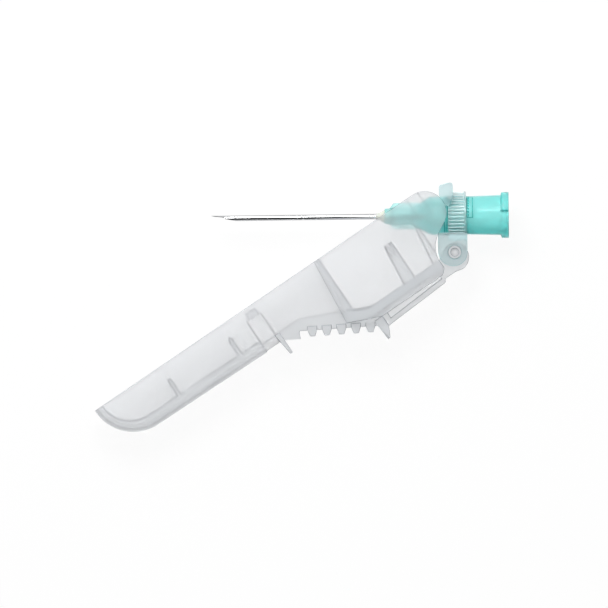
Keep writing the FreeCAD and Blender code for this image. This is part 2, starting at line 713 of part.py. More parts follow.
    keel = new_sketch(body, "keel_side")
    draw_outline(keel, [
        ("knuckle_ahead", "- knuckle_below + knuckle_radius"),
        ("ear_clear", "floor_top"),
        ("shoulder", "floor_top"),
        ("pad_start + fin_near_root", "- pad_low + wall"),
        ("pad_start", "- pad_low"),
        ("pad_start - fin_near_root", "- spine_far"),
        ("spine_start + lip_height / 2", "- spine_near"),
        ("spine_start", "- spine_near + lip_height"),
        ("knuckle_ahead + knuckle_radius / 2", "- spine_near + lip_height"),
        ("knuckle_ahead", "- knuckle_below - knuckle_radius", "knuckle_radius", "left"),
        ("knuckle_ahead - knuckle_radius", "- knuckle_below", "knuckle_radius", "left"),
    ])
    extrude(body, "Pad", "keel", keel, "2 * knuckle_half")

    recess = new_sketch(body, "recess_side", lift="knuckle_half - recess_depth")
    draw_outline(recess, [
        ("recess_start", "floor_top - floor_wall"),
        ("recess_start", "- spine_near + wall"),
        ("recess_end", "- spine_far + wall"),
        ("recess_end", "floor_top - floor_wall"),
    ])
    recess_cut = extrude(body, "Pocket", "keel_recess", recess, "recess_depth + glue_gap",
                         symmetric=False, reverse=True)
    mirrored(body, "keel_recesses", recess_cut)

    make_pad(body)

    for name, start in (("near_ribs", "rib_near"), ("far_ribs", "rib_far")):
        rib = new_sketch(body, name + "_side")
        draw_outline(rib, box_corners(start, "rib_low", start + " + rib_length", "rib_high"))
        extrude(body, "Pad", name, rib, "2 * ( narrow_half + wall / 2 )")
        gap = new_sketch(body, name + "_gap_side")
        draw_outline(gap, box_corners(
            start + " - wall", "rib_low - glue_gap", start + " + rib_length + wall", above))
        extrude(body, "Pocket", name + "_gap", gap, "rib_throat")
    tongue = new_sketch(body, "tongue_side")
    draw_outline(tongue, box_corners(
        "tongue_start", "tongue_top - tongue_height",
        "tongue_start + tongue_length", "tongue_top"))
    extrude(body, "Pad", "lock_tongues", tongue, "2 * ( narrow_half + wall / 2 )")
    throat = new_sketch(body, "throat_side")
    draw_outline(throat, box_corners(
        "tongue_start - wall", "tongue_top - tongue_height - wall",
        "tongue_start + tongue_length + wall", above))
    extrude(body, "Pocket", "throat", throat, "tongue_throat")

    latch = new_sketch(body, "latch_side")
    draw_outline(latch, box_corners("- latch_start", "latch_low", "latch_end", above))
    extrude(body, "Pocket", "latch_pockets", latch, "2 * ( wide_half + latch_depth )")

    pin = new_sketch(body, "pin_side")
    draw_circle(pin, "0", "0", "pin_radius")
    extrude(body, "Pad", "hinge_pins", pin, "2 * ear_outer")
    dimple = new_sketch(body, "dimple_side", lift="ear_outer - dimple_depth")
    draw_circle(dimple, "0", "0", "pin_dimple")
    dimple_cut = extrude(body, "Pocket", "pin_dimple_cut", dimple, "dimple_depth + glue_gap",
                         symmetric=False, reverse=True)
    mirrored(body, "pin_dimples", dimple_cut)

    body.setExpression("Placement.Base.x", bound("- pivot_back"))
    body.setExpression("Placement.Base.y", bound("- pivot_drop"))
    half_turn = FreeCAD.Rotation(FreeCAD.Vector(0, 1, 0), 180)
    swing = FreeCAD.Rotation(FreeCAD.Vector(0, 0, 1), amount("rest_angle"))
    body.Placement = FreeCAD.Placement(
        FreeCAD.Vector(amount("- pivot_back"), amount("- pivot_drop"), 0),
        swing.multiply(half_turn))
    doc.recompute()
    return body


def mirrored(body, name, original):
    """Repeat a feature on the other side of the body's middle plane."""
    mirror = body.newObject("PartDesign::Mirrored", name)
    mirror.Originals = [original]
    mirror.MirrorPlane = (origin_feature(body, "XY_Plane"), [""])
    body.Tip = mirror
    doc.recompute()
    return mirror


def make_pad(body):
    """The finger pad: a base under the ramp, its teeth, and a fin at each end."""
    pad_end = "pad_start + pad_length * cos(pad_slope)"
    pad_high = "pad_length * sin(pad_slope) - pad_low"
    base = new_sketch(body, "pad_base_side")
    draw_outline(base, [
        ("pad_start", "- pad_low"),
        (pad_end, pad_high),
        (pad_end + " + step_length", pad_high + " - step_depth"),
        ("fin_far_start", "channel_back"),
        ("window_start", "channel_back"),
        ("window_start", "ramp_rise"),
        ("ramp_end", "ramp_rise"),
        ("ramp_start", "floor_top - wall / 2"),
        ("pad_start - fin_near_root", "floor_top - wall / 2"),
        ("pad_start - fin_near_root", "- skirt_drop"),
    ])
    extrude(body, "Pad", "pad_base", base, "2 * ( narrow_half + wall )")

    tooth = new_sketch(body, "tooth_side", slope=("pad_start", "- pad_low", "pad_slope"))
    draw_outline(tooth, [
        ("tooth_first - tooth_root / 2", "pad_margin"),
        ("tooth_first - tooth_root / 2", "0"),
        ("tooth_first - tooth_tip / 2", "- tooth_height"),
        ("tooth_first + tooth_tip / 2", "- tooth_height"),
        ("tooth_first + tooth_root / 2", "0"),
        ("tooth_first + tooth_root / 2", "pad_margin"),
    ])
    tooth_pad = extrude(body, "Pad", "tooth", tooth, "2 * pad_half")
    teeth = body.newObject("PartDesign::LinearPattern", "teeth")
    teeth.Originals = [tooth_pad]
    teeth.Direction = (tooth, ["H_Axis"])
    teeth.Mode = "Extent"
    teeth.setExpression("Length", bound("tooth_pitch * ( tooth_count - 1 )"))
    teeth.setExpression("Occurrences", bound("tooth_count"))
    body.Tip = teeth
    doc.recompute()

    near = new_sketch(body, "near_fin_side")
    draw_outline(near, [
        ("pad_start", "- pad_low + wall"),
        ("pad_start - fin_near_tip / 2", "- fin_near_drop"),
        ("pad_start - fin_near_tip * 3 / 2", "- fin_near_drop"),
        ("pad_start - fin_near_root", "- spine_far"),
        ("pad_start - fin_near_root", "- pad_low + wall"),
    ])
    extrude(body, "Pad", "near_fin", near, "2 * pad_half")
    far = new_sketch(body, "far_fin_side")
    draw_outline(far, [
        ("fin_far_start", "ramp_rise"),
        ("fin_far_start", "fin_far_low"),
        ("fin_far_start + fin_far_tip", "fin_far_low"),
        ("fin_far_start + fin_far_root", "ramp_rise"),
    ])
    extrude(body, "Pad", "far_fin", far, "2 * pad_half")


parts = [make_cannula(), make_adhesive(), make_hub(), make_collar(), make_sheath()]
doc.recompute()

faults = [o.Name for o in doc.Objects if "Invalid" in o.State or "Error" in o.State]
faults += [b.Label for b in parts if b.Shape.isNull() or not b.Shape.isValid()]
if faults:
    raise RuntimeError("these objects failed: " + ", ".join(faults))

os.makedirs("parts", exist_ok=True)
for body in parts:
    body.Shape.exportStep(os.path.join("parts", body.Label + ".step"))
    box = body.Shape.BoundBox
    print("%-14s %d solid(s) %8.2f mm3  x %.2f..%.2f  y %.2f..%.2f  z %.2f..%.2f" % (
        body.Label, len(body.Shape.Solids), body.Shape.Volume,
        box.XMin, box.XMax, box.YMin, box.YMax, box.ZMin, box.ZMax))
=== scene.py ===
# %% [markdown]
# # A safety hypodermic needle
#
# A green needle hub carries a steel cannula. Round the hub turns a clear ribbed collar, and
# on the collar hangs a milky sheath that swings over the needle after use. The object is
# small, clear and pale, so most of its looks come from how light passes through plastic.
# The imported model is loaded first, because every piece has to sit where it says. Its box is
# kept for the floor's height.

# %% Load the frame
import math

import bmesh
import bpy
import numpy as np
from mathutils.bvhtree import BVHTree
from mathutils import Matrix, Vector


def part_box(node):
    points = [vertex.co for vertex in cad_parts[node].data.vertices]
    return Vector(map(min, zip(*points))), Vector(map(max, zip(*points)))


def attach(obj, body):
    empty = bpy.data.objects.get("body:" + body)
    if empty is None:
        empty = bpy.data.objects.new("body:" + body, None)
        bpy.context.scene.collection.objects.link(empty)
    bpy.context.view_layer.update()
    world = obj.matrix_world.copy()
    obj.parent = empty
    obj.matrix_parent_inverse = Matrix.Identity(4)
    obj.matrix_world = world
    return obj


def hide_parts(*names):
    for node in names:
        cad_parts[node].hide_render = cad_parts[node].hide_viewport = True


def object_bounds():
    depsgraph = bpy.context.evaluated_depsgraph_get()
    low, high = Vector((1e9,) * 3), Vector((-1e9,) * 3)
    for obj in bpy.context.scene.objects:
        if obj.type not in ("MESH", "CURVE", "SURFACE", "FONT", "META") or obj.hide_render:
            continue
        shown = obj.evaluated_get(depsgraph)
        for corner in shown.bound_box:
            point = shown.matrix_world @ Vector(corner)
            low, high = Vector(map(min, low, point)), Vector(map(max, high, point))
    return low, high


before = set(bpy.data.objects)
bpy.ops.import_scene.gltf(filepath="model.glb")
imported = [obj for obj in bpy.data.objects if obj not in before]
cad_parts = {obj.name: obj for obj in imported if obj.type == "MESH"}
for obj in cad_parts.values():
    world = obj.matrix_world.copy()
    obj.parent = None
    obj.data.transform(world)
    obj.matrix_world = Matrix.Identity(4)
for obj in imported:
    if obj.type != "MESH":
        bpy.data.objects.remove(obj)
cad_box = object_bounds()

MM = 0.001
print("nodes:", sorted(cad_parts))

# %% [markdown]
# ## The camera
#
# The photograph looks straight down on the needle as it lies on its side. There is no
# perspective to be seen, so the camera is orthographic. Its width in millimetres comes from
# the photograph's scale, 6.6 pixels to the millimetre, and it is rolled by three quarters
# of a degree, because the needle doesn't lie quite level in the picture.

# %% Camera
PIXELS_PER_MM = 6.6
FRAME_PIXELS = 608
ROLL = math.radians(-0.72)
MOUTH_PIXEL = (508.7, 214.88)  # where the picture shows the middle of the socket's mouth
CAMERA_HEIGHT = 0.3
CLIP_END = 2.0


def camera_place():
    """The camera stands back from the socket's mouth by the distance between that pixel and
    the picture's centre, measured along its own right and up."""
    right = (MOUTH_PIXEL[0] - FRAME_PIXELS / 2) / PIXELS_PER_MM
    up = (FRAME_PIXELS / 2 - MOUTH_PIXEL[1]) / PIXELS_PER_MM
    x = -(right * math.cos(ROLL) - up * math.sin(ROLL))
    y = -(right * math.sin(ROLL) + up * math.cos(ROLL))
    return x * MM, y * MM


camera_data = bpy.data.cameras.new("camera")
camera_data.type = "ORTHO"
camera_data.ortho_scale = FRAME_PIXELS / PIXELS_PER_MM * MM
camera_data.clip_end = CLIP_END
camera = bpy.data.objects.new("camera", camera_data)
camera.location = (*camera_place(), CAMERA_HEIGHT)
camera.rotation_euler = (0, 0, ROLL)
bpy.context.scene.collection.objects.link(camera)
bpy.context.scene.camera = camera
print("camera at", [round(v, 5) for v in camera.location])

# %% [markdown]
# ## A small node builder
#
# Each finish is a node tree. It could be built link by link, but that hides what the tree
# does, so one helper makes a node and fills its sockets, either with a constant or with
# another node's output.

# %% Node helpers


def new_material(name):
    """An empty node material and its output node."""
    material = bpy.data.materials.new(name)
    material.use_nodes = True
    material.node_tree.nodes.clear()
    output = material.node_tree.nodes.new("ShaderNodeOutputMaterial")
    return material, output


def node(material, kind, sockets=None, **settings):
    """A node of this kind, its settings set, its sockets filled or linked."""
    made = material.node_tree.nodes.new("ShaderNode" + kind)
    for name, value in settings.items():
        setattr(made, name, value)
    for name, value in (sockets or {}).items():
        if isinstance(value, bpy.types.NodeSocket):
            material.node_tree.links.new(value, made.inputs[name])
        else:
            made.inputs[name].default_value = value
    return made


def ramp(material, fac, stops):
    """A colour ramp through (position, colour) stops."""
    made = node(material, "ValToRGB", {"Fac": fac})
    elements = made.color_ramp.elements
    while len(elements) < len(stops):
        elements.new(0.5)
    for element, (position, colour) in zip(elements, stops):
        element.position = position
        element.color = colour
    return made.outputs["Color"]


def grey(value):
    """An opaque grey."""
    return (value, value, value, 1.0)


# %% [markdown]
# ## Moulded plastics
#
# The sheath, the collar and the hub are injection mouldings: milky, clear and green. A
# tinted skin would be the short way to them, but plastic like this has its colour inside:
# where the eye looks through a thin wall it hardly shows, and where it looks along a rib or
# a floor it adds up to grey or green. So each plastic is a transmitting skin round an
# absorbing volume, which makes the posts and the floor of the sheath stand out by
# themselves. A rough skin blurs what lies far behind it and leaves what touches it sharp. A
# small share of plain scattering is the milk. Along the edges, where the skin curves round,
# less light comes through, so the strips that are marked there are painted with a share
# and a colour of their own: painted shade, a grey or dark line, and on the collar's ribs a
# painted highlight. Soft noise on Object coordinates lets the roughness wander, as a
# spark-eroded mould leaves it.

# %% Plastic finish
EROSION = 0.2 * MM  # size of the mould's fine grain
EROSION_HEIGHT = 0.02 * MM
FLOW = 6 * MM  # size of the cloudy patches that the melt leaves
FLOW_BAND = {"From Min": 0.3, "From Max": 0.7}  # where a noise's values mostly lie
DULL = {"To Min": 0.28, "To Max": 0.32}  # roughness of the skin
MILK_SPREAD = 0.15  # how far the share of milk wanders
COAT_ROUGHNESS = 0.06
THICKEST = 0.9  # share of light that the densest channel takes in the volume's colour


def plastic(name, per_metre, milk, rim, groove, ior, polish):
    """Moulded plastic. per_metre is what the body takes from red, green and blue light on
    each metre of its way. milk is a colour and a share: what the skin scatters on its faces.
    rim and groove are each a colour and a share painted along its outer and its inner edges:
    painted shade where the colour is dark, a painted highlight where it is light. polish is
    how much of the skin is glossy enough for a sharp highlight."""
    material, output = new_material(name)
    place = node(material, "TexCoord").outputs["Object"]
    fine, flow = (node(material, "TexNoise", {"Vector": place, "Scale": 1 / size, "Detail": 2.0,
                                              "Roughness": 0.5}).outputs["Fac"]
                  for size in (EROSION, FLOW))
    rough = node(material, "MapRange", {"Value": flow, **FLOW_BAND, **DULL}).outputs["Result"]
    milk_tone, milk_share = milk
    share = node(material, "MapRange", {
        "Value": flow, **FLOW_BAND, "To Min": milk_share * (1 - MILK_SPREAD),
        "To Max": milk_share * (1 + MILK_SPREAD)}).outputs["Result"]
    tint = milk_tone + (1.0,)
    # Painted shade and painted highlight: the marked edge strips take the rim or groove colour
    # and a larger share of the scattering skin.
    for mark, (tone, amount) in (("rim", rim), ("groove", groove)):
        here = node(material, "Attribute", attribute_name=mark).outputs["Fac"]
        painted_edge_share = node(material, "Math", {0: here, 1: amount}, operation="MULTIPLY")
        share = node(material, "Math", {0: share, 1: painted_edge_share.outputs["Value"]},
                     operation="MAXIMUM").outputs["Value"]
        tint = node(material, "MixRGB", {"Fac": here, "Color1": tint,
                                         "Color2": tone + (1.0,)}).outputs["Color"]
    raised = node(material, "Bump", {"Height": fine, "Strength": 0.02,
                                     "Distance": EROSION_HEIGHT}).outputs["Normal"]
    skin = {"Roughness": rough, "IOR": ior, "Normal": raised, "Coat Weight": polish,
            "Coat Roughness": COAT_ROUGHNESS}
    clear = node(material, "BsdfPrincipled", {
        "Base Color": (1, 1, 1, 1), "Transmission Weight": 1.0, **skin})
    cloudy = node(material, "BsdfPrincipled", {"Base Color": tint, **skin})
    mixed = node(material, "MixShader", {"Fac": share, 1: clear.outputs["BSDF"],
                                         2: cloudy.outputs["BSDF"]})
    dense = max(per_metre) / THICKEST
    inside = node(material, "VolumeAbsorption", {
        "Color": (*(1 - amount / dense for amount in per_metre), 1), "Density": dense})
    links = material.node_tree.links
    links.new(mixed.outputs["Shader"], output.inputs["Surface"])
    links.new(inside.outputs["Volume"], output.inputs["Volume"])
    return material


# The sheath's rim and groove colours are painted shade: grey lines along its edges.
milky_plastic = plastic("milky_plastic", (56, 51, 47), ((0.64, 0.65, 0.67), 0.17),
                        rim=((0.31, 0.32, 0.35), 0.78), groove=((0.34, 0.35, 0.38), 0.48),
                        ior=1.14, polish=0.0)
# The collar's rim colour is a painted highlight on the rib tops; its groove colour is painted
# shade in the grooves.
clear_plastic = plastic("clear_plastic", (84, 20, 15), ((0.54, 0.66, 0.68), 0.20),
                        rim=((0.95, 1.00, 1.00), 0.85), groove=((0.12, 0.48, 0.50), 0.50),
                        ior=1.13, polish=0.9)
# The hub's rim and groove colours are painted shade: dark teal lines along its edges.
green_plastic = plastic("green_plastic", (620, 88, 94), ((0.46, 0.91, 0.88), 0.27),
                        rim=((0.01, 0.46, 0.44), 0.80), groove=((0.01, 0.40, 0.38), 0.80),
                        ior=1.2, polish=0.1)
print("plastics:", [m.name for m in (milky_plastic, clear_plastic, green_plastic)])

# %% [markdown]
# ## Steel and resin
#
# The cannula is drawn through a die and polished, so its grain runs along its length. The
# shader's own anisotropy could stretch the gloss, but it needs a tangent on the mesh, so a
# noise stretched along X makes faint lines in roughness instead. The ground point is
# blasted after grinding: its faces carry a mark that makes them duller and darker. The
# resin that holds the tube is a cream epoxy, glossy and a little translucent, so it gets
# some scattering under its skin.

# %% Steel and resin finishes
DRAWN_LINES = 0.04 * MM  # width of the lines that the die leaves
DRAWN_DEPTH = 0.004 * MM
LINE_STRETCH = (0.02, 1.0, 1.0)  # a line is fifty times as long as it is wide
GROUND_TONE = (0.22, 0.22, 0.23, 1)
GROUND_ROUGHNESS = 0.2  # what blasting adds
GRAZING_TINT = (0.4, 0.4, 0.4, 1)  # what the steel sends back at a grazing look
RESIN_CLOUD = 0.5 * MM
RESIN_SWELL = 0.05 * MM


def steel(name):
    """Polished drawn steel with grain along X, duller and darker where it is ground."""
    material, output = new_material(name)
    place = node(material, "TexCoord").outputs["Object"]
    stretched = node(material, "Mapping", {"Vector": place,
                                           "Scale": LINE_STRETCH}).outputs["Vector"]
    grain = node(material, "TexNoise", {"Vector": stretched, "Scale": 1 / DRAWN_LINES,
                                        "Detail": 4.0, "Roughness": 0.7}).outputs["Fac"]
    rough = node(material, "MapRange", {"Value": grain, "To Min": 0.11,
                                        "To Max": 0.22}).outputs["Result"]
    drawn = ramp(material, grain, [(0.3, (0.60, 0.61, 0.62, 1)), (0.7, (0.74, 0.75, 0.76, 1))])
    ground = node(material, "Attribute", attribute_name="ground").outputs["Fac"]
    tone = node(material, "MixRGB", {"Fac": ground, "Color1": drawn,
                                     "Color2": GROUND_TONE}).outputs["Color"]
    rougher = node(material, "Math", {0: ground, 1: GROUND_ROUGHNESS, 2: rough},
                   operation="MULTIPLY_ADD").outputs["Value"]
    raised = node(material, "Bump", {"Height": grain, "Strength": 0.15,
                                     "Distance": DRAWN_DEPTH}).outputs["Normal"]
    shader = node(material, "BsdfPrincipled", {
        "Base Color": tone, "Metallic": 1.0, "Roughness": rougher, "Normal": raised,
        "Specular Tint": GRAZING_TINT})
    material.node_tree.links.new(shader.outputs["BSDF"], output.inputs["Surface"])
    return material


def resin(name):
    """Cured cream resin, glossy, cloudy inside."""
    material, output = new_material(name)
    place = node(material, "TexCoord").outputs["Object"]
    cloud = node(material, "TexNoise", {"Vector": place, "Scale": 1 / RESIN_CLOUD,
                                        "Detail": 3.0, "Roughness": 0.5}).outputs["Fac"]
    tone = ramp(material, cloud, [(0.3, (0.48, 0.51, 0.44, 1)), (0.7, (0.57, 0.59, 0.53, 1))])
    raised = node(material, "Bump", {"Height": cloud, "Strength": 0.3,
                                     "Distance": RESIN_SWELL}).outputs["Normal"]
    shader = node(material, "BsdfPrincipled", {
        "Base Color": tone, "Roughness": 0.22, "Normal": raised, "Subsurface Weight": 0.3,
        "Subsurface Radius": (0.6 * MM, 0.6 * MM, 0.4 * MM), "Subsurface Scale": 1.0})
    material.node_tree.links.new(shader.outputs["BSDF"], output.inputs["Surface"])
    return material


needle_steel = steel("needle_steel")
cream_resin = resin("cream_resin")
print("finishes:", needle_steel.name, cream_resin.name)

# %% [markdown]
# ## Soft edges
#
# No mould gives a knife edge, and on clear plastic the narrow rounding of each edge bends
# the light away. The thin lines that this gives are painted on the strips by the finish: a
# grey line on the sheath, which is painted shade, and a bright line on the collar's ribs,
# which is a painted highlight. A Bevel modifier would round the edges too, but outer edges
# have to be told from inner ones for the finish. So the edges sharper than 30 degrees are
# cut back on the mesh itself, and each strip is marked as it is made.

# %% Soft edges
SAME_POINT = 0.002 * MM  # points nearer than this are merged
FLAT = math.radians(0.5)  # triangles that meet flatter than this are one face
SHARP = math.radians(30)  # an edge sharper than this is cut back
STEEP = math.radians(110)  # an inner edge steeper than this is a notch
SHORTEST = 0.03 * MM  # edges shorter than this stay as they are
STRAY = 0.2  # how far a point may leave the old surface, as a share of the cut


def soften(work, cut, sliver):
    """Merges the loose triangles and cuts every sharp edge back by this much on each side.
    The strips are marked: "rim" where a strip's middle lies below the old surface, which is
    on outer edges, and "groove" where it lies above, on inner ones. Edges that meet in a
    steep notch stay as they are, because their strips would cross. Edges shorter than sliver
    are closed up first. Gives the number of strips, and of points pulled back to the
    surface."""
    bmesh.ops.remove_doubles(work, verts=work.verts, dist=SAME_POINT)
    bmesh.ops.dissolve_limit(work, angle_limit=FLAT, verts=work.verts, edges=work.edges)
    if sliver:
        bmesh.ops.dissolve_degenerate(work, dist=sliver, edges=work.edges)
    rim = work.faces.layers.float.new("rim")
    groove = work.faces.layers.float.new("groove")
    surface = BVHTree.FromBMesh(work)
    notches = {vertex for edge in work.edges for vertex in edge.verts
               if not edge.is_convex and edge.calc_face_angle() > STEEP}
    corners = [edge for edge in work.edges
               if edge.calc_face_angle() > SHARP and edge.calc_length() > SHORTEST
               and not notches & set(edge.verts)]
    strips = bmesh.ops.bevel(work, geom=corners, offset=cut, segments=1, profile=0.5,
                             affect="EDGES", clamp_overlap=False)["faces"]
    for face in strips:
        middle = face.calc_center_median()
        nearest, normal, _, _ = surface.find_nearest(middle)
        face[rim if (middle - nearest).dot(normal) < 0 else groove] = 1.0
    strays = 0
    for vertex in work.verts:
        nearest, _, _, distance = surface.find_nearest(vertex.co)
        if distance > STRAY * cut:
            vertex.co = nearest
            strays += 1
    for face in work.faces:
        face.smooth = True
    return len(strips), strays


# %% [markdown]
# ## The three mouldings
#
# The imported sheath, collar and hub have the right form, down to the ribs and the notches.
# They could be built again as surfaces, but that could only copy them. So each is copied,
# its edges are softened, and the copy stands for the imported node. Every point is smooth, and
# large faces decide the normals at their corners, so flat walls stay flat and only the
# strips look round.

# %% The three mouldings
EDGE_CUT = 0.05 * MM
SHEATH_CUT = 0.06 * MM
SHEATH_SLIVER = 0.06 * MM
FACE_WEIGHT = 100  # the most: a corner's normal comes from its largest face


def moulded(node_name, material, cut, sliver=0.0):
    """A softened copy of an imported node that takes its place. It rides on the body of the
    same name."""
    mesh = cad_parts[node_name].data.copy()
    mesh.name = node_name + "_skin"
    work = bmesh.new()
    work.from_mesh(mesh)
    strips, strays = soften(work, cut, sliver)
    work.to_mesh(mesh)
    work.free()
    mesh.materials.clear()
    mesh.materials.append(material)
    piece = bpy.data.objects.new(node_name + "_skin", mesh)
    bpy.context.scene.collection.objects.link(piece)
    shading = piece.modifiers.new("flat faces stay flat", "WEIGHTED_NORMAL")
    shading.keep_sharp = False
    shading.weight = FACE_WEIGHT
    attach(piece, node_name)
    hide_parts(node_name)
    print(piece.name, len(mesh.polygons), "faces,", strips, "strips,", strays, "strays")
    return piece


moulded("sheath", milky_plastic, SHEATH_CUT, SHEATH_SLIVER)
collar_skin = moulded("collar", clear_plastic, EDGE_CUT)
moulded("hub", green_plastic, EDGE_CUT)

# %% [markdown]
# On the collar's ribs the rim strips carry a painted highlight. Its ears and tabs stand
# further out, and their edges get painted shade instead: thin dull lines, like inner edges.
# They could have a material of their own, but the collar is one moulding, so only the marks
# on its faces change.

# %% Painted shade on the edges of ears and tabs
RING_RADIUS = 3.9 * MM


def paint_rim_shade(piece, radius):
    """Outer edges that lie farther from the X axis than radius are marked like inner ones, so
    they get the painted shade of inner edges instead of the painted highlight.
    """
    mesh = piece.data
    centres = np.empty(3 * len(mesh.polygons))
    mesh.polygons.foreach_get("center", centres)
    _, y, z = centres.reshape(-1, 3).T
    rim, groove = np.empty(len(y), np.float32), np.empty(len(y), np.float32)
    mesh.attributes["rim"].data.foreach_get("value", rim)
    mesh.attributes["groove"].data.foreach_get("value", groove)
    outside = (np.hypot(y, z) > radius) & (rim > 0)
    groove[outside], rim[outside] = 1.0, 0.0
    mesh.attributes["rim"].data.foreach_set("value", rim)
    mesh.attributes["groove"].data.foreach_set("value", groove)
    print(piece.name, int(outside.sum()), "rims dulled")


# The outer edges of the collar's ears and tabs get painted shade.
paint_rim_shade(collar_skin, RING_RADIUS)

# %% [markdown]
# ## Pieces worked out as grids
#
# The cannula and its adhesive are shapes that a formula gives exactly, so they are made as
# grids of points: one direction runs round the axis, the other follows a closed path from
# the outside to the inside and back. Such a grid has no seam and no pole.

# %% Ring grid
GRID_SHARP = math.radians(25)


def ring_grid(name, points, body, material):
    """A mesh from points[path, angle, xyz], closed in both directions. Its faces are turned
    outwards by the sign of the volume that they enclose."""
    rows, columns = points.shape[:2]
    index = np.arange(rows * columns).reshape(rows, columns)
    below, beside = np.roll(index, -1, axis=0), np.roll(index, -1, axis=1)
    across = np.roll(below, -1, axis=1)
    faces = np.stack([index, beside, across, below], axis=-1).reshape(-1, 4)
    spots = points.reshape(-1, 3)
    a, b, c, d = (spots[faces[:, k]] for k in range(4))
    volume = np.sum(a * np.cross(b, c)) + np.sum(a * np.cross(c, d))
    if volume < 0:
        faces = faces[:, ::-1]
    mesh = bpy.data.meshes.new(name)
    mesh.from_pydata(spots.tolist(), [], faces.tolist())
    mesh.shade_smooth()
    mesh.set_sharp_from_angle(angle=GRID_SHARP)
    mesh.materials.append(material)
    piece = bpy.data.objects.new(name, mesh)
    bpy.context.scene.collection.objects.link(piece)
    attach(piece, body)
    print(name, len(faces), "faces,", round(abs(volume) / 6 / MM ** 3, 2), "cubic mm")
    return piece


# %% [markdown]
# ## The cannula
#
# The tube is drawn and cut, then ground three times: once for the long bevel, and once more
# on each side, with the tube turned a little, for the two short facets that make the point
# cut. Each line along the tube meets the three grinding planes at places that are easy to
# work out, and the one that lies furthest back is where the steel begins. So the point needs
# no cutting: every line of the grid simply starts there.

# %% Cannula
tube_low, tube_high = (np.array(corner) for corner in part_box("cannula"))
TUBE_RADIUS = tube_high[1]
TUBE_BORE = 0.255 * MM
BEVEL_LENGTH = 4.0 * MM  # the long bevel, from wall to wall
FACET_LENGTH = 2.3 * MM  # the two short facets
FACET_TURN = math.radians(32)  # turn of the tube for each of them
FACET_TOP = TUBE_RADIUS - 0.02 * MM  # how far over the axis a facet begins
FACET_HEEL = 0.05 * MM  # how far under the axis it ends
# The facets meet on the tube's top line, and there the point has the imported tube's end.
cut_start = tube_low[0] - FACET_LENGTH * (FACET_TOP - TUBE_RADIUS * math.cos(FACET_TURN)) / (
    FACET_TOP + FACET_HEEL)


def ground_start(y, z):
    """Where the steel begins on the line along the tube through (y, z): the furthest back of
    the bevel's plane and of two steeper planes that are turned about the axis."""
    start = cut_start + (TUBE_RADIUS - y) / (2 * TUBE_RADIUS) * BEVEL_LENGTH
    for turn in (FACET_TURN, -FACET_TURN):
        rise = y * math.cos(turn) + z * math.sin(turn)
        share = np.minimum((FACET_TOP - rise) / (FACET_TOP + FACET_HEEL), 1.0)
        start = np.maximum(start, cut_start + share * FACET_LENGTH)
    return start


TUBE_COLUMNS = 160
TUBE_ROWS = 40
GROUND_ROWS = 8
CROWD = 0.6  # below 1, the rows crowd towards the point


def cannula_points():
    """Down the outside, over the ground face and back up the bore. On a wall the radius
    stays and x runs from the rear to the start of the steel; on the ground face the radius
    falls from the outside to the bore and x is the start of the steel there."""
    angle = np.linspace(0, 2 * math.pi, TUBE_COLUMNS, endpoint=False)[None, :]
    run = np.linspace(0, 1, TUBE_ROWS)[:, None] ** CROWD
    shrink = np.linspace(TUBE_RADIUS, TUBE_BORE, GROUND_ROWS)[1:-1, None]
    radius = np.concatenate([np.full((TUBE_ROWS, 1), TUBE_RADIUS), shrink,
                             np.full((TUBE_ROWS, 1), TUBE_BORE)])
    share = np.concatenate([run, np.ones((GROUND_ROWS - 2, 1)), run[::-1]])
    y, z = radius * np.cos(angle), radius * np.sin(angle)
    x = tube_high[0] + (ground_start(y, z) - tube_high[0]) * share
    return np.stack([x, y, z], axis=-1)


cannula = ring_grid("cannula_tube", cannula_points(), "hub", needle_steel)
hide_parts("cannula")

# %% [markdown]
# The faces between the last row of the outside and the first row of the bore are the ground
# ones. Their place in the grid is known, so they are marked by row, with no search.

# %% Mark the ground faces
on_ground = np.zeros((2 * TUBE_ROWS + GROUND_ROWS - 2, TUBE_COLUMNS), dtype=np.float32)
on_ground[TUBE_ROWS - 1:TUBE_ROWS + GROUND_ROWS - 2] = 1.0
ground_mark = cannula.data.attributes.new("ground", "FLOAT", "FACE")
ground_mark.data.foreach_set("value", on_ground.ravel())
print("ground faces:", int(on_ground.sum()))

# %% [markdown]
# ## The adhesive
#
# A drop of resin is run into the well round the cannula. Before it cures, it climbs the
# steel and the rim of the well, so its free surface is a hollow cone. The profile is that
# curve, then the outside of the well's filling, its bottom, and the hole for the cannula. A
# turned profile could be a Screw modifier on a curve, but the ring grid is at hand.

# %% Adhesive
bead_low, bead_high = (np.array(corner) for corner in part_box("adhesive_bead"))
NOSE_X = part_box("hub")[0][0]
BEAD_RADIUS = bead_high[1]
WELL_RADIUS = 0.84 * MM
BEAD_BORE = TUBE_RADIUS + 0.01 * MM
LIP = 0.02 * MM  # thickness of the resin at the cone's tip
CLIMB = 1.5  # how hollow the cone is: 1 would be straight
BEAD_COLUMNS = 96
CONE_ROWS = 20
WALL_ROWS = 6


